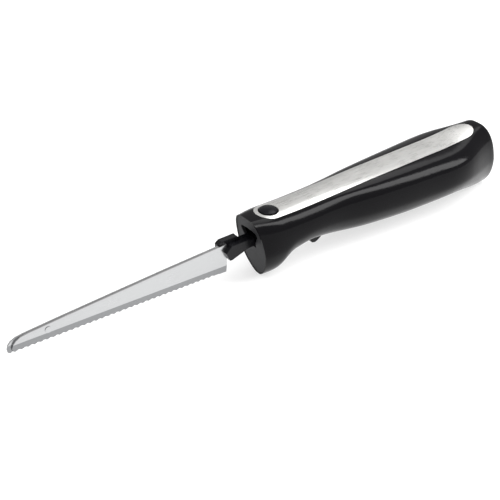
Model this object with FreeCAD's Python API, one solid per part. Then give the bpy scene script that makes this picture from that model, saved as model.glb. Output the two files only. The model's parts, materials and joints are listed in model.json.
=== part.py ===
import FreeCAD, Part
import math
import os

# Twin-blade reciprocating electric knife.
# Working frame in mm: X = 0 at the foot of the finger guard, +X towards the rear of the
# handle, +Z up from the table, Y = 0 on the plane where the two blades rub together.
# Left is -Y. The finished pieces are moved by SHIFT so that X = 0 is the middle of the part.

# Handle outside
LENGTH = 254.5
WALL = 2.4
FACE_LEAN = 0.22
REAR_LEAN = 0.2
REAR_LEAN_START = 195.0
REAR_LEAN_Z = 30.0
REAR_ROUND = 4.0
# Heights and half widths along the handle, as (x, value) pairs joined by a smooth curve
TOP_LINE = [(-24, 56.5), (5, 56), (30, 55.5), (70, 56), (110, 56.5), (160, 57), (205, 58), (262, 63)]
HALF_WIDTH = [(-24, 15), (5, 20.5), (30, 21), (70, 21.5), (110, 26), (160, 30), (205, 31.5),
              (262, 18.5)]
UNDER_LINE = [(10, 0), (26, 11.5), (50, 16), (100, 9.5), (150, 6), (205, 5.5), (240, 0)]
UPPER_FULLNESS = [(-24, 3.4), (0, 3.4), (40, 2.8), (100, 3.3), (200, 3.3), (262, 2.6)]
LOWER_FULLNESS = [(-24, 1.6), (0, 1.6), (60, 1.7), (262, 1.7)]
FOOT_SINK = 0.7

# Top plate and release button
PLATE_WIDTH = 23.5
PLATE_START = -1.75
PLATE_END = 236.0
PLATE_THICK = 0.9
BUTTON_X = 10.0
BUTTON_R = 7.45
BUTTON_TRAVEL = 2.0
BUTTON_FLOOR = 46.5
BUTTON_CROWN = 57.6

# Blades
BLADE_THICK = 1.4
BLADE_GAP = 0.08
HEEL_X = -33.75
TIP_X = -221.4
TOOTH_PITCH = 5.1
REST_OFFSET = 1.75

# Drive
GEAR_X = 92.0
GEAR_Z = 42.5
SHAFT_Z = 29.0
TEETH = 20
PITCH = 2 * math.pi * 9.6 / TEETH
CAM_THROW = 3.75
CAM_R = 6.5
CAM_ANGLE = 42.0
FORK_HALF = 7.4
SHAFT_R = 2.0
RUN = 0.05

# Motor
CAN_X = 125.4
CAN_R = 17.0
CAN_LENGTH = 50.6

# Trigger
TRIGGER_X = 44.3
TRIGGER_Z = 22.5
PLUNGER_X = 62.3

# Rear end
GLAND_Z = 26.0
GLAND_X = 248.3
GLAND_END = 256.8
CORD_R = 3.5

SCREW_SPOTS = [(19.0, 16.0), (70.0, 46.0), (216.0, 12.0), (216.0, 48.0)]


def ease(value):
    t = min(max(value, 0.0), 1.0)
    return t * t * (3 - 2 * t)


def along(points, x):
    """Value at x on a smooth curve through the (x, value) pairs."""
    x = min(max(x, points[0][0]), points[-1][0])
    slopes = [0.0]
    for before, after in zip(points, points[2:]):
        slopes.append((after[1] - before[1]) / (after[0] - before[0]))
    slopes.append(0.0)
    index = 0
    while x > points[index + 1][0]:
        index += 1
    x0, v0 = points[index]
    x1, v1 = points[index + 1]
    gap = x1 - x0
    t = (x - x0) / gap
    start = v0 * (1 + 2 * t) * (1 - t) ** 2 + slopes[index] * gap * t * (1 - t) ** 2
    end = v1 * t * t * (3 - 2 * t) + slopes[index + 1] * gap * t * t * (t - 1)
    return start + end


def rear_scale(x):
    """The section draws in over the last few millimetres, which rounds the rear edge."""
    depth = max(0.0, x - (LENGTH - REAR_ROUND)) / REAR_ROUND
    return 1 - 0.3 * depth ** 2


def section_points(x, inset):
    high = along(TOP_LINE, x)
    low = along(UNDER_LINE, x) - FOOT_SINK
    middle = low + 0.55 * (high - low)
    shrink = rear_scale(x + inset)
    across = (along(HALF_WIDTH, x) - inset) * shrink
    up = (high - middle - inset) * shrink
    down = (middle - low - inset) * shrink
    lean = REAR_LEAN * ease((x - REAR_LEAN_START) / (LENGTH - REAR_LEAN_START))
    points = []
    for step in range(28):
        angle = 2 * math.pi * (step + 0.5) / 28
        c = math.cos(angle)
        s = math.sin(angle)
        power = along(UPPER_FULLNESS if s > 0 else LOWER_FULLNESS, x)
        y = across * math.copysign(abs(c) ** (2 / power), c)
        z = middle + (up if s > 0 else down) * math.copysign(abs(s) ** (2 / power), s)
        points.append(FreeCAD.Vector(x - lean * (z - REAR_LEAN_Z), y, z))
    return points


def section(x, inset):
    """Closed curve; every section shares its parameters, which keeps the lofted skin light."""
    points = section_points(x, inset)
    steps = [float(index) for index in range(len(points) + 1)]
    curve = Part.BSplineCurve()
    curve.interpolate(Points=points, PeriodicFlag=True, Parameters=steps)
    return Part.Wire([curve.toShape()])


def body_solid(inset, start=-22.0, end=LENGTH):
    stations = [-22, -15, -8, 0, 8, 14, 20, 26, 32, 40, 48, 56, 66, 80, 100, 122, 146, 170, 192,
                210, 224, 234]
    wires = [section(start, inset)]
    for x in stations:
        if start + 1 < x < end - 15:
            wires.append(section(x, inset))
    for gap in (13.5, 8.5, 5.5, 3.3, 1.5):
        wires.append(section(end - gap, inset))
    wires.append(section(end, inset))
    return Part.makeLoft(wires, True, False)


REAR_EDGE = max(point.x for point in body_solid(0.0).tessellate(0.05)[0])
SHIFT = -(REAR_EDGE + TIP_X - REST_OFFSET) / 2


def block(x0, x1, y0, y1, z0, z1):
    return Part.makeBox(x1 - x0, y1 - y0, z1 - z0, FreeCAD.Vector(x0, y0, z0))


def rod_x(x0, x1, r, y=0.0, z=SHAFT_Z):
    return Part.makeCylinder(r, x1 - x0, FreeCAD.Vector(x0, y, z), FreeCAD.Vector(1, 0, 0))


def rod_y(y0, y1, r, x, z):
    return Part.makeCylinder(r, y1 - y0, FreeCAD.Vector(x, y0, z), FreeCAD.Vector(0, 1, 0))


def rod_z(z0, z1, r, x, y):
    return Part.makeCylinder(r, z1 - z0, FreeCAD.Vector(x, y, z0), FreeCAD.Vector(0, 0, 1))


def slab_xz(points, y0, y1):
    corners = [FreeCAD.Vector(x, y0, z) for x, z in points]
    face = Part.Face(Part.makePolygon(corners + [corners[0]]))
    return face.extrude(FreeCAD.Vector(0, y1 - y0, 0))


def mirror_y(shape):
    return shape.mirror(FreeCAD.Vector(0, 0, 0), FreeCAD.Vector(0, 1, 0))


def pair(shape):
    return Part.makeCompound([shape, mirror_y(shape)])


def coil(x, y, z0, z1, r, wire_r, turns):
    path = Part.makeHelix((z1 - z0 - 2 * wire_r) / turns, z1 - z0 - 2 * wire_r, r)
    ring = Part.makeCircle(wire_r, FreeCAD.Vector(r, 0, 0), FreeCAD.Vector(0, 1, 0))
    spring = Part.Wire(path).makePipeShell([Part.Wire([ring])], True, True)
    spring.translate(FreeCAD.Vector(x, y, z0 + wire_r))
    return spring


def front_slab(depth0, depth1):
    """Space between two planes parallel to the leaning front face, depth measured along X."""
    points = []
    for depth, z in [(depth0, -30), (depth1, -30), (depth1, 90), (depth0, 90)]:
        points.append((depth - FACE_LEAN * z, z))
    return slab_xz(points, -60, 60)


def plate_outline(grow):
    half = PLATE_WIDTH / 2 + grow
    nose_x = PLATE_START + PLATE_WIDTH / 2
    tail_x = PLATE_END - 14.0
    bar = block(nose_x, tail_x, -half, half, 40, 70)
    nose = rod_z(40, 70, half, nose_x, 0)
    tail = Part.makeCylinder(half, 30, FreeCAD.Vector(0, 0, 0), FreeCAD.Vector(0, 0, 1))
    stretch = FreeCAD.Matrix()
    stretch.A11 = 14.0 / (PLATE_WIDTH / 2)
    tail = tail.transformGeometry(stretch)
    tail.translate(FreeCAD.Vector(tail_x, 0, 40))
    return bar.fuse([nose, tail])


def blade_profile():
    """Outline of one blade in XZ with the scallops of the cutting edge."""
    spine = [(HEEL_X, 40.6), (-90.0, 38.7), (-131.0, 36.9), (-180.0, 34.6), (-208.0, 33.0),
             (-214.0, 32.2), (-218.0, 30.4), (-220.4, 27.8), (TIP_X, 24.8), (-221.1, 22.4)]
    edge = []
    count = int((-36.5 - (-219.0)) / TOOTH_PITCH)
    for tooth in range(count + 1):
        x = -219.0 + tooth * TOOTH_PITCH
        z = 20.9 - 0.0336 * (x + 219.0)
        edge.append((x, z))
        if tooth < count:
            for part, rise in [(0.2, 0.75), (0.4, 1.15), (0.6, 1.15), (0.8, 0.75)]:
                edge.append((x + part * TOOTH_PITCH, z + rise))
    return spine + edge + [(HEEL_X, 14.6)]


def blade(side):
    y0 = BLADE_GAP if side > 0 else -BLADE_GAP - BLADE_THICK
    plate = slab_xz(blade_profile(), y0, y0 + BLADE_THICK)
    tang = slab_xz([(HEEL_X - 0.01, 30.2), (HEEL_X - 0.01, 37.0), (6.0, 37.0), (6.0, 33.6),
                    (-10.0, 33.6), (-10.0, 32.0)], y0, y0 + BLADE_THICK)
    plate = plate.fuse(tang)
    outer = side * (BLADE_GAP + BLADE_THICK)
    wedge = []
    for x, line, foot in [(-30.0, 21.2, 13.4), (-225.0, 28.6, 19.9)]:
        corners = [FreeCAD.Vector(x, outer, line), FreeCAD.Vector(x, outer + side, line),
                   FreeCAD.Vector(x, outer + side, foot), FreeCAD.Vector(x, outer - side * 1.15, foot)]
        wedge.append(Part.makePolygon(corners + [corners[0]]))
    plate = plate.cut(Part.makeLoft(wedge, True, True))
    plate.translate(FreeCAD.Vector(side * -REST_OFFSET, 0, 0))
    return plate


def blade_holder(side):
    outline = [(-36.5, 34.2), (-33.2, 27.0), (-31.0, 26.8), (-15.0, 31.9), (22.0, 31.9), (22.0, 38.6),
               (-14.0, 38.6), (-14.0, 39.4), (-31.5, 39.4)]
    if side > 0:
        outline = outline[:6] + [(-15.5, 38.6), (-19.0, 43.4), (-34.0, 43.4), (-37.0, 41.0)]
    y0 = 0.12 if side > 0 else -5.2
    body = slab_xz(outline, y0, y0 + 5.08)
    pocket = slab_xz([(-40.0, 29.3), (-40.0, 37.2), (6.3, 37.2), (6.3, 33.3), (-9.8, 33.3),
                      (-9.8, 31.6)], side * 0.1, side * 1.54)
    heel = block(-60.0, HEEL_X + 0.25, -1.56, 1.56, 10.0, 41.2)
    notch = block(11.8, 15.4, -8.0, 8.0, 31.0, 33.6)
    body = body.cut(pocket).cut(heel).cut(notch)
    body.translate(FreeCAD.Vector(side * -REST_OFFSET, 0, 0))
    return body


def carrier(side):
    fork_out = FORK_HALF + 3.0
    outline = [(7.0, 29.9), (58.0, 29.9), (70.0, 27.5), (GEAR_X + fork_out, 27.5),
               (GEAR_X + fork_out, 50.0), (GEAR_X + FORK_HALF, 50.0), (GEAR_X + FORK_HALF, 31.5),
               (GEAR_X - FORK_HALF, 31.5), (GEAR_X - FORK_HALF, 50.0), (GEAR_X - fork_out, 50.0),
               (GEAR_X - fork_out, 40.5), (7.0, 40.5)]
    plate = slab_xz(outline, -9.2, -5.5)
    socket = block(7.0, 29.0, -9.2, -0.3, 29.9, 40.5)
    mouth = block(0.0, 22.4, -5.5, 0.0, 31.6, 38.9)
    window = block(11.0, 16.4, -7.4, -1.4, 29.0, 32.0)
    body = plate.fuse(socket).cut(mouth).cut(window)
    body.translate(FreeCAD.Vector(REST_OFFSET, 0, 0))
    if side > 0:
        body = mirror_y(body)
        body.translate(FreeCAD.Vector(-2 * REST_OFFSET, 0, 0))
    return body


def latch(side):
    leaf = block(7.4, 29.0, -7.2, -1.6, 29.05, 29.85)
    nose = slab_xz([(12.2, 29.85), (15.0, 29.85), (15.0, 33.0), (14.2, 33.0)], -4.9, -1.8)
    strip = block(7.4, 19.0, -10.4, -7.2, 29.05, 29.85)
    arm = block(7.4, 19.0, -10.4, -9.6, 29.85, 42.0)
    body = leaf.fuse([nose, strip, arm])
    body.translate(FreeCAD.Vector(REST_OFFSET, 0, 0))
    if side > 0:
        body = mirror_y(body)
        body.translate(FreeCAD.Vector(-2 * REST_OFFSET, 0, 0))
    return body


def worm():
    core = rod_x(GEAR_X - 9.0, GEAR_X + 9.0, 2.95)
    path = Part.makeHelix(PITCH, 5 * PITCH, 2.9)
    corners = [FreeCAD.Vector(2.6, 0, -0.62), FreeCAD.Vector(4.6, 0, -0.42),
               FreeCAD.Vector(4.6, 0, 0.42), FreeCAD.Vector(2.6, 0, 0.62)]
    profile = Part.makePolygon(corners + [corners[0]])
    thread = Part.Wire(path).makePipeShell([profile], True, True)
    thread.rotate(FreeCAD.Vector(0, 0, 0), FreeCAD.Vector(0, 1, 0), 90)
    # After the turn the thread starts at -Z; half a turn later it is on top, at the wheel.
    thread.translate(FreeCAD.Vector(GEAR_X - 2.0 * PITCH, 0, SHAFT_Z))
    body = core.fuse(thread)
    return body.cut(rod_x(GEAR_X - 10.0, GEAR_X + 10.0, SHAFT_R))


def worm_wheel():
    points = []
    for tooth in range(TEETH):
        for share, r in [(-0.36, 8.7), (-0.2, 8.7), (-0.1, 10.3), (0.1, 10.3), (0.2, 8.7), (0.36, 8.7)]:
            angle = 2 * math.pi * (tooth + share) / TEETH
            points.append((GEAR_X + r * math.sin(angle), GEAR_Z - r * math.cos(angle)))
    rim = slab_xz(points, -2.5, 2.5)
    hub = rod_y(-5.4, 5.4, 5.0, GEAR_X, GEAR_Z)
    return rim.fuse(hub).cut(rod_y(-8.0, 8.0, SHAFT_R, GEAR_X, GEAR_Z))


def cam(side):
    angle = math.radians(CAM_ANGLE)
    x = GEAR_X - side * CAM_THROW * math.sin(angle)
    z = GEAR_Z - side * CAM_THROW * math.cos(angle)
    y0 = 5.6 if side > 0 else -9.0
    disc = rod_y(y0, y0 + 3.4, CAM_R, x, z)
    return disc.cut(rod_y(-10.0, 10.0, SHAFT_R, GEAR_X, GEAR_Z))


def gear_frame(inside):
    floor = block(76.0, CAN_X, -14.0, 14.0, 19.0, 21.5)
    cheek = block(80.0, 112.0, -12.6, -10.2, 20.0, 47.0)
    front = block(76.0, 79.2, -5.0, 5.0, 19.0, 33.0)
    rear = block(122.2, CAN_X - 0.05, -15.0, 15.0, 19.0, 45.0)
    rib = block(112.0, 122.2, -12.6, -10.2, 19.0, 40.0)
    body = floor.fuse([cheek, mirror_y(cheek), front, rear, rib, mirror_y(rib)])
    body = body.cut(rod_y(-20.0, 20.0, 3.5, GEAR_X, GEAR_Z))
    body = body.cut(rod_x(70.0, 80.0, 3.4)).cut(rod_x(120.0, 130.0, 4.8))
    for y in (-7.4, 7.4):
        body = body.cut(rod_x(120.0, 130.0, 1.3, y))
    return body.common(inside)


def slide_guide(inside):
    body = block(34.0, 40.0, -30.0, 30.0, 26.0, 47.5).common(inside)
    for y0 in (-9.5, 5.2):
        body = body.cut(block(30.0, 50.0, y0, y0 + 4.3, 29.6, 40.8))
    return body


def trigger():
    tail = TRIGGER_X + 19.6
    lever = block(TRIGGER_X, tail, -4.2, 4.2, TRIGGER_Z - 1.6, TRIGGER_Z + 1.6)
    hub = rod_y(-4.2, 4.2, 2.9, TRIGGER_X, TRIGGER_Z)
    finger = slab_xz([(52.1, 21.5), (52.1, 12.7), (53.9, 10.3), (56.5, 9.5), (59.3, 10.3),
                      (tail, 13.5), (tail, 21.5)], -4.2, 4.2)
    finger = finger.makeFillet(1.2, [e for e in finger.Edges if abs(e.BoundBox.YLength) < 0.01
                                     and e.BoundBox.ZMax < 13.6])
    body = lever.fuse([hub, finger]).cut(rod_y(-9.0, 9.0, 1.55, TRIGGER_X, TRIGGER_Z))
    return body.cut(block(TRIGGER_X - 3.2, TRIGGER_X + 3.2, -1.6, 1.6, 15.0, 30.0))


def trigger_spring():
    """Torsion coil round the pin, in the notch of the trigger's hub."""
    coils = coil(0, 0, -1.3, 1.3, 2.15, 0.25, 2.5)
    coils.rotate(FreeCAD.Vector(0, 0, 0), FreeCAD.Vector(1, 0, 0), -90)
    coils.translate(FreeCAD.Vector(TRIGGER_X, 0, TRIGGER_Z))
    return coils


def motor_can():
    outer = rod_x(CAN_X, CAN_X + CAN_LENGTH, CAN_R)
    body = outer.cut(rod_x(CAN_X + 1.4, CAN_X + 80.0, CAN_R - 1.2))
    snout = rod_x(CAN_X - 3.0, CAN_X + 4.0, 4.6)
    body = body.fuse(snout).cut(rod_x(CAN_X - 9.0, CAN_X + 9.0, 3.6))
    for y in (-7.4, 7.4):
        body = body.cut(rod_x(CAN_X - 1.0, CAN_X + 3.0, 1.2, y))
    return body


def motor_end_cap():
    start = CAN_X + CAN_LENGTH
    body = rod_x(start, start + 14.0, CAN_R - 0.4).cut(rod_x(start - 1.0, start + 11.6, CAN_R - 2.4))
    body = body.cut(rod_x(start, start + 20.0, 3.6))
    for y in (-9.0, 9.0):
        body = body.cut(block(start + 2.0, start + 8.0, y - 2.0, y + 2.0, 29.0, 60.0))
    return body


def field_magnets():
    ring = rod_x(132.0, 170.0, CAN_R - 1.25).cut(rod_x(131.0, 171.0, 13.6))
    arcs = []
    for z0, z1 in [(SHAFT_Z + 5.5, SHAFT_Z + 20), (SHAFT_Z - 20, SHAFT_Z - 5.5)]:
        arcs.append(ring.common(block(130.0, 172.0, -20.0, 20.0, z0, z1)))
    return Part.makeCompound(arcs)


def rotor_core():
    body = rod_x(135.0, 167.0, 12.9)
    for pole in range(8):
        slot = block(134.0, 168.0, -0.9, 0.9, 5.8, 14.0)
        slot = slot.fuse(rod_x(134.0, 168.0, 2.3, 0.0, 8.2))
        slot.rotate(FreeCAD.Vector(0, 0, 0), FreeCAD.Vector(1, 0, 0), pole * 45)
        slot.translate(FreeCAD.Vector(0, 0, SHAFT_Z))
        body = body.cut(slot)
    return body.cut(rod_x(130.0, 170.0, SHAFT_R))


def rotor_windings():
    front = rod_x(130.5, 134.95, 11.4).cut(rod_x(130.0, 136.0, 4.2))
    rear = rod_x(167.05, 172.0, 11.4).cut(rod_x(166.0, 173.0, 4.2))
    bars = []
    for pole in range(8):
        bar = rod_x(134.5, 167.5, 2.2, 0.0, 8.2)
        bar.rotate(FreeCAD.Vector(0, 0, 0), FreeCAD.Vector(1, 0, 0), pole * 45)
        bar.translate(FreeCAD.Vector(0, 0, SHAFT_Z))
        bars.append(bar)
    return front.fuse([rear] + bars)


def commutator():
    body = rod_x(177.0, 185.5, 4.6).cut(rod_x(176.0, 187.0, SHAFT_R))
    for bar in range(8):
        groove = block(178.0, 186.0, -0.25, 0.25, 4.0, 6.0)
        groove.rotate(FreeCAD.Vector(0, 0, 0), FreeCAD.Vector(1, 0, 0), 22.5 + bar * 45)
        groove.translate(FreeCAD.Vector(0, 0, SHAFT_Z))
        body = body.cut(groove)
    return body


def cooling_fan():
    hub = rod_x(191.0, 197.5, 4.0)
    body = hub.fuse(rod_x(191.0, 192.0, 13.5))
    for vane in range(9):
        blade_vane = block(191.5, 197.0, -0.6, 0.6, 3.0, 14.5)
        blade_vane.rotate(FreeCAD.Vector(0, 0, 0), FreeCAD.Vector(1, 0, 0), vane * 40)
        blade_vane.translate(FreeCAD.Vector(0, 0, SHAFT_Z))
        body = body.fuse(blade_vane)
    return body.cut(rod_x(190.0, 199.0, SHAFT_R))


def bush_x(x0, x1, r):
    return rod_x(x0, x1, r).cut(rod_x(x0 - 1, x1 + 1, SHAFT_R + RUN))


def screw_y(x, z, y_head, y_tip):
    head = rod_y(y_head - 2.0, y_head, 2.9, x, z)
    drive = rod_y(y_head - 1.2, y_head + 1.0, 1.1, x, z)
    shank = rod_y(y_tip, y_head - 1.5, 1.45, x, z)
    return head.fuse(shank).cut(drive)


def shells(outer, inside):
    whole = outer.common(front_slab(0.0, 300.0))
    wall = whole.cut(inside)
    plate_seat = plate_outline(0.12).cut(body_solid(PLATE_THICK + 0.03, -20.0, LENGTH - 0.5))
    posts = []
    for x, z in SCREW_SPOTS:
        posts.append(rod_y(-40.0, 40.0, 3.4, x, z))
    posts.append(rod_y(-40.0, -4.6, 3.2, TRIGGER_X, TRIGGER_Z))
    posts.append(rod_y(4.6, 40.0, 3.2, TRIGGER_X, TRIGGER_Z))
    cradle = block(228.6, 231.4, -40.0, 40.0, 0.0, 14.2)
    posts.append(cradle)
    wall = wall.fuse([p.common(whole.common(body_solid(1.0, -20.0, LENGTH - 1.0))) for p in posts])
    collar = rod_z(49.4, 60.0, 9.4, BUTTON_X, 0).common(body_solid(1.0, -20.0, LENGTH - 1.0))
    wall = wall.fuse(collar)
    wall = wall.cut(rod_z(40.0, 60.0, BUTTON_R + 0.25, BUTTON_X, 0))
    wall = wall.cut(plate_seat)
    wall = wall.cut(front_slab(-20.0, 3.4).common(body_solid(1.1, -21.0, 60.0)))
    wall = wall.cut(block(51.3, 66.5, -4.8, 4.8, 0.0, 25.3))
    wall = wall.cut(rod_x(247.0, 270.0, 6.5, 0.0, GLAND_Z))
    wall = wall.cut(rod_y(-7.4, 10.4, 1.5, TRIGGER_X, TRIGGER_Z))
    for x, z in SCREW_SPOTS:
        wall = wall.cut(rod_y(-9.5, 0.5, 1.5, x, z))
        wall = wall.cut(rod_y(0.0, 50.0, 1.7, x, z))
        wall = wall.cut(rod_y(6.0, 50.0, 3.1, x, z))
    left = wall.common(block(-40.0, 280.0, -60.0, -0.01, -5.0, 80.0))
    right = wall.common(block(-40.0, 280.0, 0.01, 60.0, -5.0, 80.0))
    return [s.cut(block(-40.0, 280.0, -60.0, 60.0, -5.0, 0.0)) for s in (left, right)]


def front_plate():
    body = front_slab(0.35, 3.2).common(body_solid(1.2, -21.0, 60.0))
    slot = [(0.0, 46.4), (9.0, 45.4), (10.4, 42.6), (8.6, 38.6), (5.8, 34.4), (5.6, 29.4),
            (-5.6, 29.4), (-5.8, 34.4), (-8.6, 38.6), (-10.4, 42.6), (-9.0, 45.4)]
    corners = [FreeCAD.Vector(-30.0, y, z) for y, z in slot]
    mouth = Part.Face(Part.makePolygon(corners + [corners[0]])).extrude(FreeCAD.Vector(60, 0, 0))
    return body.cut(mouth).cut(block(-40.0, 60.0, -40.0, 40.0, -5.0, 0.6))


def inlay_plate(outer):
    body = plate_outline(0.0).common(outer).cut(body_solid(PLATE_THICK, -20.0, LENGTH - 0.5))
    body = body.common(front_slab(2.0, 300.0))
    return body.cut(rod_z(40.0, 70.0, BUTTON_R + 1.0, BUTTON_X, 0))


def release_button():
    skirt = BUTTON_FLOOR + BUTTON_TRAVEL + 0.9
    shoulder = BUTTON_CROWN - 2.0
    dome_r = 30.0
    dome = Part.makeSphere(dome_r, FreeCAD.Vector(BUTTON_X, 0, BUTTON_CROWN - dome_r))
    crown = rod_z(shoulder, BUTTON_CROWN + 1.0, BUTTON_R, BUTTON_X, 0).common(dome)
    body = rod_z(skirt, shoulder, BUTTON_R, BUTTON_X, 0).fuse(crown).removeSplitter()
    rim = [e for e in body.Edges if e.BoundBox.ZMin > shoulder + 0.3 and e.BoundBox.XLength > 10]
    body = body.makeFillet(0.6, rim)
    body = body.cut(rod_z(skirt - 1.0, BUTTON_CROWN - 4.2, 5.9, BUTTON_X, 0))
    return body.fuse(rod_z(BUTTON_FLOOR - 2.9, BUTTON_CROWN - 4.0, 2.4, BUTTON_X, 0))


def button_foot():
    low = BUTTON_FLOOR - 2.9
    bridge = block(BUTTON_X - 3.5, BUTTON_X + 3.5, -9.9, 9.9, low, low + 1.1)
    leg = block(BUTTON_X - 3.5, BUTTON_X + 3.5, -10.3, -9.5, low - 1.0, low + 0.5)
    return bridge.fuse([leg, mirror_y(leg)]).cut(rod_z(40.0, 50.0, 2.4, BUTTON_X, 0))


def button_guide(inside):
    cup = rod_z(BUTTON_FLOOR - 1.2, 49.35, 9.4, BUTTON_X, 0)
    cup = cup.cut(rod_z(BUTTON_FLOOR, 60.0, BUTTON_R + 0.25, BUTTON_X, 0)).common(inside)
    return cup.cut(rod_z(40.0, 60.0, 2.4 + RUN, BUTTON_X, 0))


def save(name, shape):
    moved = shape.copy()
    moved.translate(FreeCAD.Vector(SHIFT, 0, 0))
    moved.exportStep(os.path.join("parts", name + ".step"))


def rivet_and_slot(left, right):
    """The stud that keeps the two blades together, fixed in the left blade."""
    x = -190.6
    z = 29.3
    near = -BLADE_GAP - BLADE_THICK
    far = BLADE_GAP + BLADE_THICK
    stud = rod_y(near, far + 0.1, 1.6, x, z)
    head = rod_y(near - 0.5, near, 2.6, x, z)
    button = rod_y(far + 0.1, far + 0.8, 2.5, x, z)
    left = left.cut(rod_y(-5.0, 0.0, 1.6, x, z))
    slot = block(x - 13.6, x + 4.6, 0.0, 5.0, z - 1.75, z + 1.75)
    for end in (x - 13.6, x + 4.6):
        slot = slot.fuse(rod_y(0.0, 5.0, 1.75, end, z))
    slot = slot.fuse(rod_y(0.0, 5.0, 2.75, x + 8.4, z))
    return stud.fuse([head, button]), left, right.cut(slot)


def drive_and_motor(inside):
    start = CAN_X + CAN_LENGTH
    save("gear_frame", gear_frame(inside))
    save("slide_guide", slide_guide(inside))
    bush = rod_y(-12.6, -10.2, 3.5, GEAR_X, GEAR_Z).cut(rod_y(-13.0, -10.0, SHAFT_R + RUN, GEAR_X, GEAR_Z))
    save("axle_bushes", pair(bush))
    save("worm_bush", bush_x(76.0, 79.2, 3.4))
    save("gear_axle", rod_y(-12.4, 12.4, SHAFT_R, GEAR_X, GEAR_Z))
    save("worm_wheel", worm_wheel())
    save("left_cam", cam(-1))
    save("right_cam", cam(1))
    save("worm", worm())
    save("motor_shaft", rod_x(75.0, 198.5, SHAFT_R))
    save("rotor_core", rotor_core())
    save("rotor_windings", rotor_windings())
    save("commutator", commutator())
    save("cooling_fan", cooling_fan())
    save("motor_can", motor_can())
    save("motor_end_cap", motor_end_cap())
    save("field_magnets", field_magnets())
    bushes = [bush_x(CAN_X - 3.0, CAN_X + 4.0, 3.6), bush_x(start + 11.0, start + 14.0, 3.6)]
    save("motor_bushes", Part.makeCompound(bushes))
    brush = block(179.0, 182.6, 4.65, 9.5, SHAFT_Z - 1.8, SHAFT_Z + 1.8)
    save("motor_brushes", pair(brush))
    holder = block(178.2, 183.4, 5.6, 14.2, SHAFT_Z - 2.6, SHAFT_Z + 2.6)
    holder = holder.cut(block(178.95, 182.65, 5.0, 13.4, SHAFT_Z - 1.85, SHAFT_Z + 1.85))
    save("brush_holders", pair(holder))
    spring = coil(0, 0, 9.55, 13.35, 1.4, 0.28, 3)
    spring.rotate(FreeCAD.Vector(0, 0, 0), FreeCAD.Vector(1, 0, 0), -90)
    spring.translate(FreeCAD.Vector(180.8, 0, SHAFT_Z))
    save("brush_springs", pair(spring))
    screws = []
    for y in (-7.4, 7.4):
        screws.append(rod_x(CAN_X - 5.3, CAN_X - 3.3, 2.3, y).fuse(rod_x(CAN_X - 3.4, CAN_X + 2.4, 1.2, y)))
    save("motor_screws", Part.makeCompound(screws))


def controls(inside):
    save("release_button", release_button())
    save("button_foot", button_foot())
    save("button_guide", button_guide(inside))
    save("button_spring", coil(BUTTON_X, 0, BUTTON_FLOOR + 0.05, BUTTON_CROWN - 4.25, 4.3, 0.35, 3.5))
    save("trigger", trigger())
    save("trigger_pin", rod_y(-7.4, 10.4, 1.5, TRIGGER_X, TRIGGER_Z))
    save("trigger_spring", trigger_spring())
    low = TRIGGER_Z + 1.7
    tip = Part.makeSphere(1.2, FreeCAD.Vector(PLUNGER_X, 0, low + 1.2))
    save("switch_plunger", rod_z(low + 1.2, low + 5.1, 1.2, PLUNGER_X, 0).fuse(tip))
    housing = block(53.3, 68.3, -5.0, 5.0, low + 3.3, low + 9.3)
    housing = housing.cut(rod_z(low, low + 8.7, 1.2 + RUN, PLUNGER_X, 0))
    save("switch_body", housing)
    tab = block(68.3, 71.9, 1.6, 3.0, low + 5.0, low + 5.8)
    save("switch_terminals", pair(tab.cut(rod_z(20.0, 40.0, 0.4, 70.9, 2.3))))


def electrics():
    board = block(203.0, 228.2, -0.8, 0.8, 15.7, 43.0)
    save("rectifier_board", board)
    save("bridge_rectifier", block(207.0, 217.0, -5.0, -0.8, 30.0, 40.0))
    save("suppressor_capacitor", block(205.0, 221.0, 0.8, 8.0, 18.0, 29.0))
    save("board_terminals", Part.makeCompound([
        block(222.0, 227.0, 0.8, 6.0, 17.0, 21.5), block(222.0, 227.0, 0.8, 6.0, 24.0, 28.5)]))
    gland = rod_x(GLAND_X, GLAND_END, 6.5, 0, GLAND_Z)
    gland = gland.fuse(rod_x(GLAND_X, GLAND_X + 2.7, 8.2, 0, GLAND_Z))
    save("cord_gland", gland.cut(rod_x(230.0, 270.0, CORD_R, 0, GLAND_Z)))
    saddle = block(228.6, 231.4, -9.0, 9.0, 14.25, 20.0)
    saddle = saddle.cut(rod_x(220.0, 240.0, CORD_R + 0.6, 0, 19.2))
    save("cord_clamp", saddle)
    screws = []
    for y in (-6.6, 6.6):
        screws.append(rod_z(20.0, 21.4, 1.2, 230.0, y))
    save("clamp_screws", Part.makeCompound(screws))


def main():
    os.makedirs("parts", exist_ok=True)
    outer = body_solid(0.0)
    inside = body_solid(WALL, -30.0, LENGTH - WALL)
    left, right = shells(outer, inside)
    save("left_shell", left)
    save("right_shell", right)
    save("front_plate", front_plate())
    save("inlay_plate", inlay_plate(outer))
    rivet, left_blade, right_blade = rivet_and_slot(blade(-1), blade(1))
    save("left_blade", left_blade)
    save("right_blade", right_blade)
    save("guide_rivet", rivet)
    for side, word in [(-1, "left"), (1, "right")]:
        save(word + "_blade_holder", blade_holder(side))
        save(word + "_carrier", carrier(side))
        save(word + "_latch", latch(side))
    fitted = body_solid(WALL + 0.2, -25.0, LENGTH - WALL - 0.2)
    drive_and_motor(fitted)
    controls(fitted)
    electrics()
    screws = []
    for x, z in SCREW_SPOTS:
        screws.append(screw_y(x, z, 8.0, -8.5))
    save("housing_screws", Part.makeCompound(screws))


main()
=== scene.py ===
import json
import math

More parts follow.
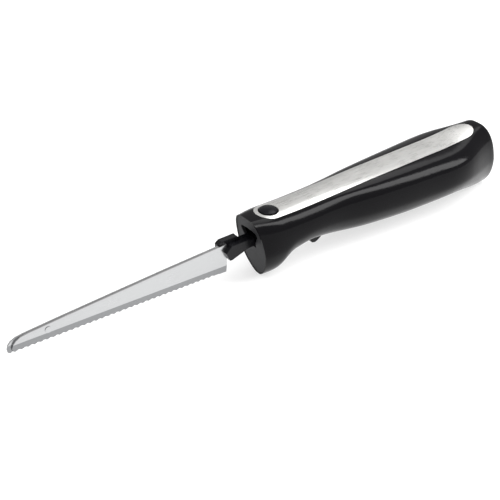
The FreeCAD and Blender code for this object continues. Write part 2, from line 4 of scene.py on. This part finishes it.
import bpy
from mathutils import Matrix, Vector


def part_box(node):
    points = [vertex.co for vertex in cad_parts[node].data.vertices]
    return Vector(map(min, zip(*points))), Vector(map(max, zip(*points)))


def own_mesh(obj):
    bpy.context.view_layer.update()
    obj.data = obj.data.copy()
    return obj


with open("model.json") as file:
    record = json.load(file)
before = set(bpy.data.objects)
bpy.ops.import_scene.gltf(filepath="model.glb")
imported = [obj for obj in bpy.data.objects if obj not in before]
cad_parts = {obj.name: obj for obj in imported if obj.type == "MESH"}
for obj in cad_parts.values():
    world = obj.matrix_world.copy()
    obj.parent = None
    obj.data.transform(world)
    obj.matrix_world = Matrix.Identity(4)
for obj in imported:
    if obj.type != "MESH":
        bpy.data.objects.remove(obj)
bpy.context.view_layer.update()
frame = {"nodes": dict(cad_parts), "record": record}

# Corded electric knife with twin reciprocating blades. Metres, in the frame of the CAD model:
# +X is the rear of the handle, -Y the side that faces the camera, and Z = 0 the table.

NODES = frame["nodes"]
SLOTS = {entry["node"]: entry["material_slot"] for entry in frame["record"]["subparts"]}


def middle(name):
    low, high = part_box(name)
    return Vector(((low[0] + high[0]) / 2, (low[1] + high[1]) / 2, (low[2] + high[2]) / 2))


# ---- node helpers ----

def node_of(tree, kind, **values):
    item = tree.nodes.new(kind)
    for key, value in values.items():
        setattr(item, key, value)
    return item


def ramp(tree, source, low, high, start, end):
    item = node_of(tree, "ShaderNodeMapRange", clamp=True)
    item.inputs["From Min"].default_value = low
    item.inputs["From Max"].default_value = high
    item.inputs["To Min"].default_value = start
    item.inputs["To Max"].default_value = end
    tree.links.new(source, item.inputs["Value"])
    return item.outputs["Result"]


def math_node(tree, operation, first, second):
    item = node_of(tree, "ShaderNodeMath", operation=operation)
    for socket, value in zip(item.inputs, (first, second)):
        if isinstance(value, (int, float)):
            socket.default_value = value
        else:
            tree.links.new(value, socket)
    return item.outputs["Value"]


def place(tree):
    return node_of(tree, "ShaderNodeTexCoord").outputs["Object"]


def noise(tree, stretch, size, detail=5.0):
    scaled = node_of(tree, "ShaderNodeMapping")
    scaled.inputs["Scale"].default_value = stretch
    tree.links.new(place(tree), scaled.inputs["Vector"])
    item = node_of(tree, "ShaderNodeTexNoise")
    item.inputs["Scale"].default_value = size
    item.inputs["Detail"].default_value = detail
    item.inputs["Roughness"].default_value = 0.6
    tree.links.new(scaled.outputs["Vector"], item.inputs["Vector"])
    return item.outputs["Fac"]


def mixed(tree, factor, first, second):
    item = node_of(tree, "ShaderNodeMix", data_type="RGBA", blend_type="MIX")
    colours = [socket for socket in item.inputs if socket.type == "RGBA"]
    item.inputs[0].default_value = 0.5
    tree.links.new(factor, item.inputs[0])
    for socket, value in zip(colours, (first, second)):
        if isinstance(value, tuple):
            socket.default_value = value + (1,)
        else:
            tree.links.new(value, socket)
    return [socket for socket in item.outputs if socket.type == "RGBA"][0]


def darker(color, share):
    return tuple(min(1.0, c * share) for c in color)


def finish(name, color, rough, metal=0.0, stretch=(1, 1, 1), size=900.0, spread=0.06, bump=0.05,
           tint=0.06, coat=0.0, smudge=0.05, depth=0.00004, zones=(), specular=0.5, glow=0.0):
    """A procedural finish: fine grain that can be stretched into brushing, broad smudges and a
    bump. Each zone is (mask builder, colour), here painted shade, and covers what comes before
    it; glow is white light of its own, for the floor."""
    mat = bpy.data.materials.new(name)
    mat.use_nodes = True
    tree = mat.node_tree
    shader = tree.nodes["Principled BSDF"]
    shader.inputs["Metallic"].default_value = metal
    shader.inputs["Specular IOR Level"].default_value = specular
    shader.inputs["Coat Weight"].default_value = coat
    shader.inputs["Emission Color"].default_value = (1, 1, 1, 1)
    shader.inputs["Emission Strength"].default_value = glow
    shader.inputs["Coat Roughness"].default_value = 0.06
    grain = noise(tree, stretch, size)
    broad = noise(tree, (1, 1, 1), 55.0, 3.0)
    fleck = ramp(tree, grain, 0.3, 0.7, 0.0, 1.0)
    colour = mixed(tree, fleck, darker(color, 1 - tint), darker(color, 1 + tint))
    for mask, zone_colour in zones:
        flecked = mixed(tree, fleck, darker(zone_colour, 1 - tint), darker(zone_colour, 1 + tint))
        colour = mixed(tree, mask(tree), colour, flecked)
    tree.links.new(colour, shader.inputs["Base Color"])
    fine = ramp(tree, grain, 0.3, 0.7, rough - spread, rough + spread)
    total = math_node(tree, "ADD", fine, ramp(tree, broad, 0.45, 0.75, 0.0, smudge))
    tree.links.new(total, shader.inputs["Roughness"])
    relief = node_of(tree, "ShaderNodeBump")
    relief.inputs["Strength"].default_value = bump
    relief.inputs["Distance"].default_value = depth
    tree.links.new(grain, relief.inputs["Height"])
    tree.links.new(relief.outputs["Normal"], shader.inputs["Normal"])
    return mat


# ---- blade zones: painted shade, a much darker steel on the ground bevel below a sloping line and a slightly darker strip along the spine ----

BLADE_LOW, BLADE_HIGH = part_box("left_blade")
HEEL_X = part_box("left_blade_holder")[0][0]
# Height of each line at the heel, and how much it rises for each metre towards +X
BEVEL_HEEL_Z = BLADE_LOW[2] + 0.0066
BEVEL_SLOPE = -0.0345
SPINE_HEEL_Z = BLADE_HIGH[2] - 0.0013
SPINE_SLOPE = 0.0405


def below_line(height, slope, soft, sign=1.0):
    """Mask that is 1 below a line in the XZ plane (or above it, for sign -1)."""
    def build(tree):
        split = node_of(tree, "ShaderNodeSeparateXYZ")
        tree.links.new(place(tree), split.inputs["Vector"])
        run = math_node(tree, "SUBTRACT", split.outputs["X"], HEEL_X)
        line = math_node(tree, "ADD", math_node(tree, "MULTIPLY", run, slope), height)
        gap = math_node(tree, "MULTIPLY", math_node(tree, "SUBTRACT", line, split.outputs["Z"]), sign)
        return ramp(tree, gap, -soft, soft, 0.0, 1.0)
    return build


GLOSS = finish("gloss_black", (0.0035, 0.0033, 0.004), 0.13, size=2600, spread=0.02, bump=0.02,
               smudge=0.04, specular=0.08)
FACE = finish("face_grey", (0.02, 0.02, 0.022), 0.55, size=3800, spread=0.08, bump=0.35, tint=0.15,
              specular=0.25)
HOLDER = finish("holder_black", (0.004, 0.004, 0.005), 0.24, size=3000, spread=0.06, bump=0.15,
                specular=0.2)
PLATE = finish("brushed_plate", (0.62, 0.615, 0.60), 0.30, 1.0, (0.02, 1, 1), 2600, 0.07, 0.3, 0.07)
# Painted shade on the blade: the bevel and spine zones are darker copies of the same steel, standing in for
# the shade on these angled faces.
BLADE = finish("blade_steel", (0.51, 0.515, 0.52), 0.22, 1.0, (0.05, 0.05, 1), 2400, 0.05, 0.2, 0.04,
               zones=((below_line(SPINE_HEEL_Z, SPINE_SLOPE, 0.0001, -1.0), (0.50, 0.50, 0.505)),
                      (below_line(BEVEL_HEEL_Z, BEVEL_SLOPE, 0.0001), (0.26, 0.265, 0.27))))
BUTTON = finish("button_black", (0.003, 0.003, 0.0045), 0.22, size=3200, spread=0.05, bump=0.12,
                specular=0.1)
INNER = {
    "steel": finish("plain_steel", (0.5, 0.5, 0.51), 0.3, 1.0, (1, 1, 1), 1800, 0.08, 0.2, 0.1),
    "nylon": finish("nylon", (0.72, 0.69, 0.6), 0.5, size=1500, bump=0.2),
    "can_steel": finish("plated_can", (0.55, 0.56, 0.58), 0.34, 1.0, (1, 0.05, 0.05), 1800, 0.1, 0.2),
    "grey_plastic": finish("grey_plastic", (0.06, 0.065, 0.075), 0.5, size=1500, bump=0.2),
    "bronze": finish("sintered_bronze", (0.6, 0.38, 0.16), 0.42, 1.0, size=2500, bump=0.4, tint=0.2),
    "copper": finish("winding_copper", (0.62, 0.26, 0.12), 0.33, 1.0, (0.1, 1, 1), 2500, 0.1, 0.5),
    "ferrite": finish("ferrite", (0.035, 0.035, 0.038), 0.7, size=2200, bump=0.4),
    "core_iron": finish("laminated_iron", (0.22, 0.22, 0.23), 0.45, 1.0, (1, 0.02, 0.02), 2600, 0.1),
    "carbon": finish("carbon", (0.02, 0.02, 0.02), 0.6, size=2600, bump=0.4),
    "board_green": finish("board_green", (0.02, 0.13, 0.05), 0.35, size=900, bump=0.1, coat=0.3),
    "component_black": finish("component_black", (0.015, 0.015, 0.015), 0.5, size=2000, bump=0.2),
    "component_yellow": finish("component_yellow", (0.6, 0.42, 0.05), 0.4, size=1500, bump=0.1),
    "black_plastic": HOLDER,
}


def smoothing(limit):
    """Node group that shades smooth across edges flatter than limit degrees."""
    group = bpy.data.node_groups.new("smooth_%d" % limit, "GeometryNodeTree")
    group.interface.new_socket("Geometry", in_out="INPUT", socket_type="NodeSocketGeometry")
    group.interface.new_socket("Geometry", in_out="OUTPUT", socket_type="NodeSocketGeometry")
    start = group.nodes.new("NodeGroupInput")
    end = group.nodes.new("NodeGroupOutput")
    faces = group.nodes.new("GeometryNodeSetShadeSmooth")
    faces.domain = "FACE"
    edges = group.nodes.new("GeometryNodeSetShadeSmooth")
    edges.domain = "EDGE"
    angle = group.nodes.new("GeometryNodeInputMeshEdgeAngle")
    test = group.nodes.new("FunctionNodeCompare")
    test.operation = "LESS_THAN"
    test.inputs["B"].default_value = math.radians(limit)
    group.links.new(start.outputs["Geometry"], faces.inputs["Geometry"])
    group.links.new(faces.outputs["Geometry"], edges.inputs["Geometry"])
    group.links.new(angle.outputs["Unsigned Angle"], test.inputs["A"])
    group.links.new(test.outputs["Result"], edges.inputs["Shade Smooth"])
    group.links.new(edges.outputs["Geometry"], end.inputs["Geometry"])
    return group


SMOOTH = smoothing(32)


def dress(name, mat, bevel=0.0):
    item = NODES[name]
    item.data.materials.clear()
    item.data.materials.append(mat)
    if bevel:
        edge = item.modifiers.new("edge", "BEVEL")
        edge.width = bevel
        edge.segments = 2
        edge.limit_method = "ANGLE"
        edge.angle_limit = math.radians(40)
    item.modifiers.new("smooth", "NODES").node_group = SMOOTH


def paint_cad():
    shown = {
        "left_shell": (GLOSS, 0), "right_shell": (GLOSS, 0), "front_plate": (FACE, 0.0003),
        "inlay_plate": (PLATE, 0), "release_button": (BUTTON, 0), "trigger": (HOLDER, 0.0002),
        "left_blade": (BLADE, 0), "right_blade": (BLADE, 0), "guide_rivet": (BLADE, 0.0002),
        "left_blade_holder": (HOLDER, 0.0003), "right_blade_holder": (HOLDER, 0.0003),
    }
    for name in NODES:
        if name in shown:
            dress(name, *shown[name])
        else:
            dress(name, INNER[SLOTS[name]])


# ---- studio ----

SKY = 0.62              # strength of the even white surroundings
STRIP = 22.0            # lamp powers in watts
PANEL = 3.5
OVERHEAD = 24.0
FLOOR_HALF = 3.0        # half the side of the square floor
FLOOR_DROP = 0.0002     # the floor lies this far under the knife's lowest point
FLOOR_GLOW = 0.62       # keeps the ground white under the knife, where a shadow would fall


def area(name, place_at, aim, size, power, size_y=None):
    data = bpy.data.lights.new(name, "AREA")
    data.shape = "RECTANGLE"
    data.size = size
    data.size_y = size_y or size
    data.energy = power
    item = bpy.data.objects.new(name, data)
    bpy.context.collection.objects.link(item)
    item.location = place_at
    item.rotation_euler = (Vector(aim) - Vector(place_at)).to_track_quat("-Z", "Y").to_euler()
    return item


def studio():
    mesh = bpy.data.meshes.new("floor")
    mesh.from_pydata([(x * FLOOR_HALF, y * FLOOR_HALF, 0) for x, y in ((-1, -1), (1, -1), (1, 1), (-1, 1))],
                     [], [(0, 1, 2, 3)])
    floor = bpy.data.objects.new("floor", mesh)
    bpy.context.collection.objects.link(floor)
    floor.location.z = -FLOOR_DROP
    mesh.materials.append(finish("floor_pale", (0.4, 0.4, 0.4), 0.85, size=60, bump=0.02,
                                 tint=0.01, specular=0.0, glow=FLOOR_GLOW))
    world = bpy.data.worlds.new("studio")
    bpy.context.scene.world = world
    world.use_nodes = True
    sky = world.node_tree.nodes["Background"]
    sky.inputs["Color"].default_value = (1, 1, 1, 1)
    sky.inputs["Strength"].default_value = SKY
    # A long softbox ahead and above, seen in the rounding beside the plate
    area("strip", (0.75, -0.62, 0.92), (0.08, 0, 0.05), 0.42, STRIP, 1.3)
    # A panel behind and high, seen in the near half of the brushed plate
    area("panel", (0.66, 0.34, 1.05), (0.05, 0, 0.05), 0.55, PANEL)
    area("overhead", (-0.1, -0.1, 1.9), (0, 0, 0), 1.6, OVERHEAD)


CAMERA_TURN = math.radians(37.0)    # from straight at the side, towards the blades
CAMERA_TILT = math.radians(33.0)    # looking down
CAMERA_REACH = 0.940
CAMERA_LENS = 84.7                  # millimetres, on a sensor 36 mm wide
TARGET_AHEAD = 0.100075             # the view's middle, ahead of the gear's axle
TARGET_HEIGHT = 0.0253


def camera():
    target = Vector((middle("gear_axle").x - TARGET_AHEAD, 0.0, TARGET_HEIGHT))
    back = Vector((-math.sin(CAMERA_TURN) * math.cos(CAMERA_TILT),
                   -math.cos(CAMERA_TURN) * math.cos(CAMERA_TILT),
                   math.sin(CAMERA_TILT)))
    data = bpy.data.cameras.new("camera")
    data.lens = CAMERA_LENS
    data.sensor_width = 36.0
    data.clip_start = 0.01
    item = bpy.data.objects.new("camera", data)
    bpy.context.collection.objects.link(item)
    item.location = target + back * CAMERA_REACH
    item.rotation_euler = (-back).to_track_quat("-Z", "Y").to_euler()
    bpy.context.scene.camera = item
    # A plain display curve keeps the white floor white and the blacks deep
    bpy.context.scene.view_settings.view_transform = "Standard"


def soften():
    """The button's spring and the two leaf latches get mesh data of their own.
    Each row has the height of the piece's fixed end and the share of its length that is left."""
    for name, fixed_z, left in (("button_spring", 0.04655, 0.68), ("left_latch", 0.029, 0.93),
                                ("right_latch", 0.029, 0.93)):
        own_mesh(NODES[name])


paint_cad()
soften()
studio()
camera()
